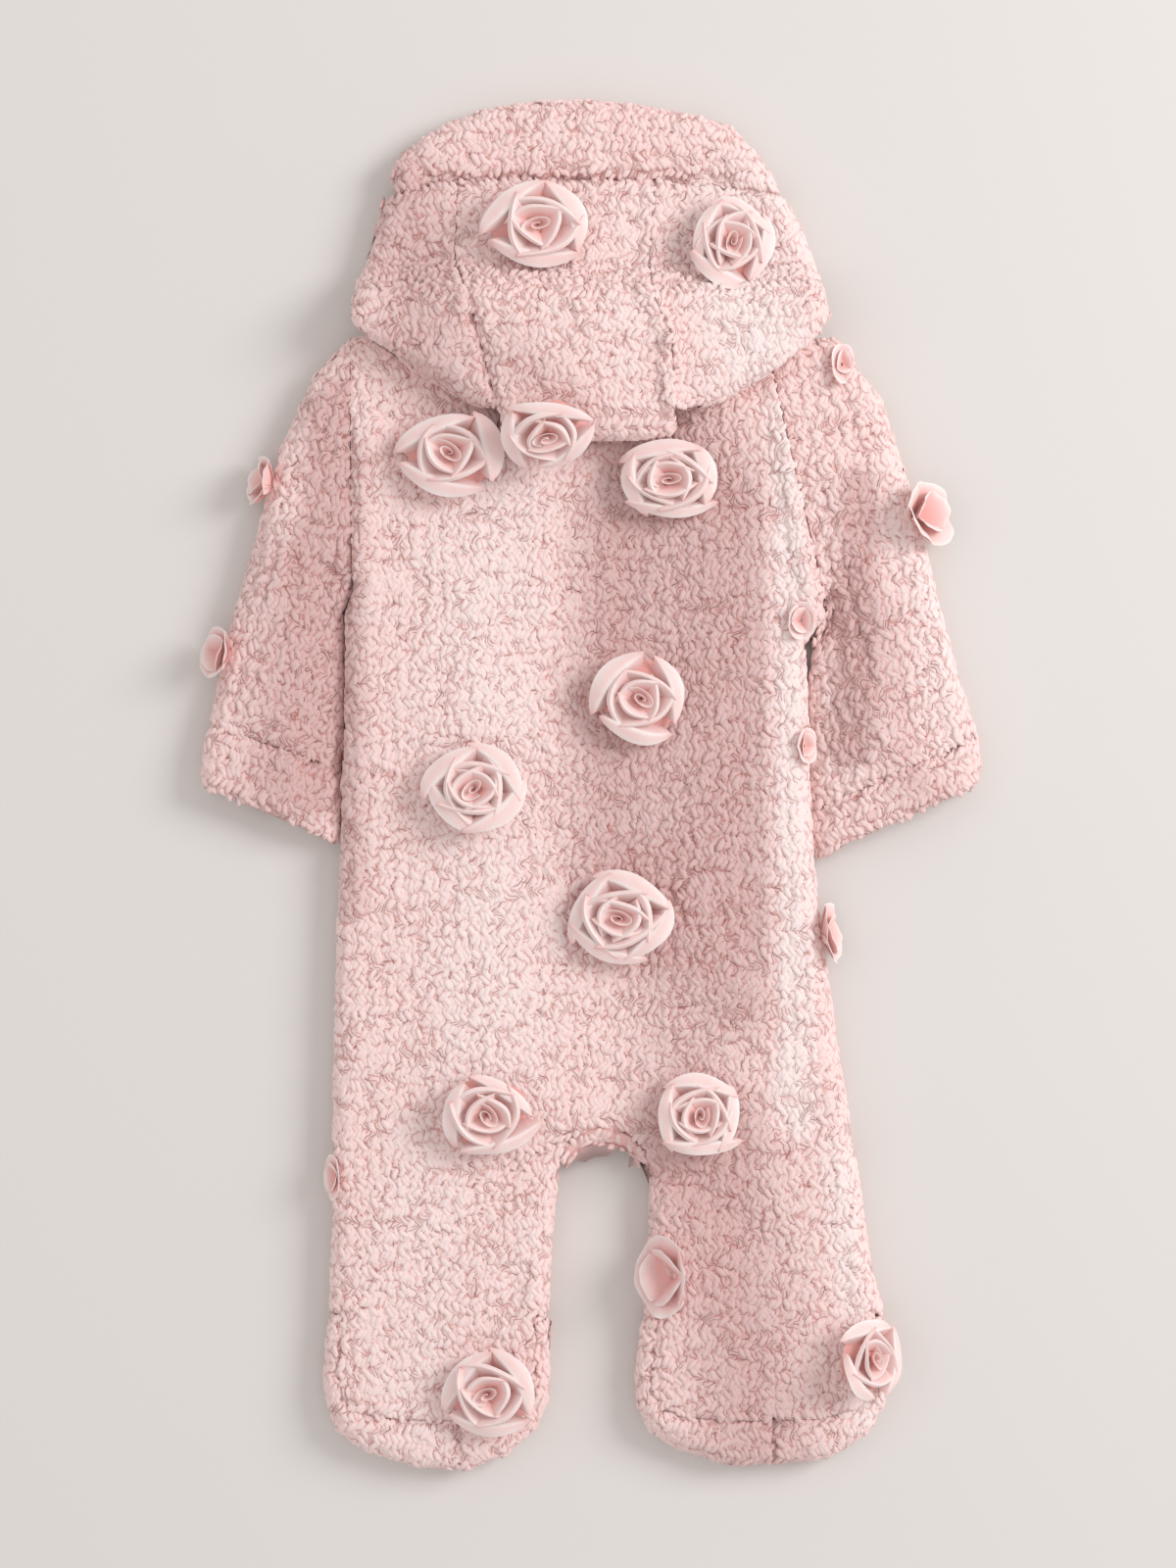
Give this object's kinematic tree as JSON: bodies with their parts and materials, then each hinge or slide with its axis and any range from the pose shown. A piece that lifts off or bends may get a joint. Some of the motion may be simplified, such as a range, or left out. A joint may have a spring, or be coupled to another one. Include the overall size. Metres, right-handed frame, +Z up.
{
  "type": "pramsuit",
  "caption": "Hooded and footed baby pramsuit in thick curly fleece with chiffon roses sewn on, lying flat and face down with the sleeves beside the body.",
  "frame": {"origin": "centre of the bounding box's base, on the surface that the garment lies on", "axes": "+X across the garment towards the wearer's right sleeve, +Y along it towards the hood, +Z up, out of its back"},
  "size_m": [0.398, 0.6984, 0.0546],
  "materials": {
    "fleece": "long curly teddy pile, matt",
    "hem_fleece": "the same curly pile, folded to a band, matt",
    "chiffon": "thin translucent chiffon, rolled into roses",
    "zip_tape": "woven polyester tape, matt",
    "zip_metal": "pale pink enamel, satin"
  },
  "bodies": {
    "garment": {"back": "fleece", "front_left": "fleece", "front_right": "fleece", "crotch_gusset": "fleece", "foot_left": "fleece", "foot_right": "fleece", "sleeve_left": "fleece", "sleeve_right": "fleece", "hood_centre": "fleece", "hood_left": "fleece", "hood_right": "fleece", "cuff_left": "hem_fleece", "cuff_right": "hem_fleece", "hood_band": "hem_fleece", "zip_tape": "zip_tape", "zip_slider": "zip_metal", "rose_01": "chiffon", "rose_02": "chiffon", "rose_03": "chiffon", "rose_04": "chiffon", "rose_05": "chiffon", "rose_06": "chiffon", "rose_07": "chiffon", "rose_08": "chiffon", "rose_09": "chiffon", "rose_10": "chiffon", "rose_11": "chiffon", "rose_12": "chiffon", "rose_13": "chiffon", "rose_14": "chiffon", "rose_15": "chiffon", "rose_16": "chiffon", "rose_17": "chiffon", "rose_18": "chiffon", "rose_19": "chiffon", "rose_20": "chiffon", "rose_21": "chiffon"},
    "zip_pull": {"zip_pull": "zip_metal"}
  },
  "joints": [
    {"name": "zip_pull_hinge", "type": "hinge", "parent": "garment", "child": "zip_pull", "pos_m": [0.002, 0.214, 0.003], "axis": [1, 0, 0], "range_deg": [0, 170]}
  ]
}
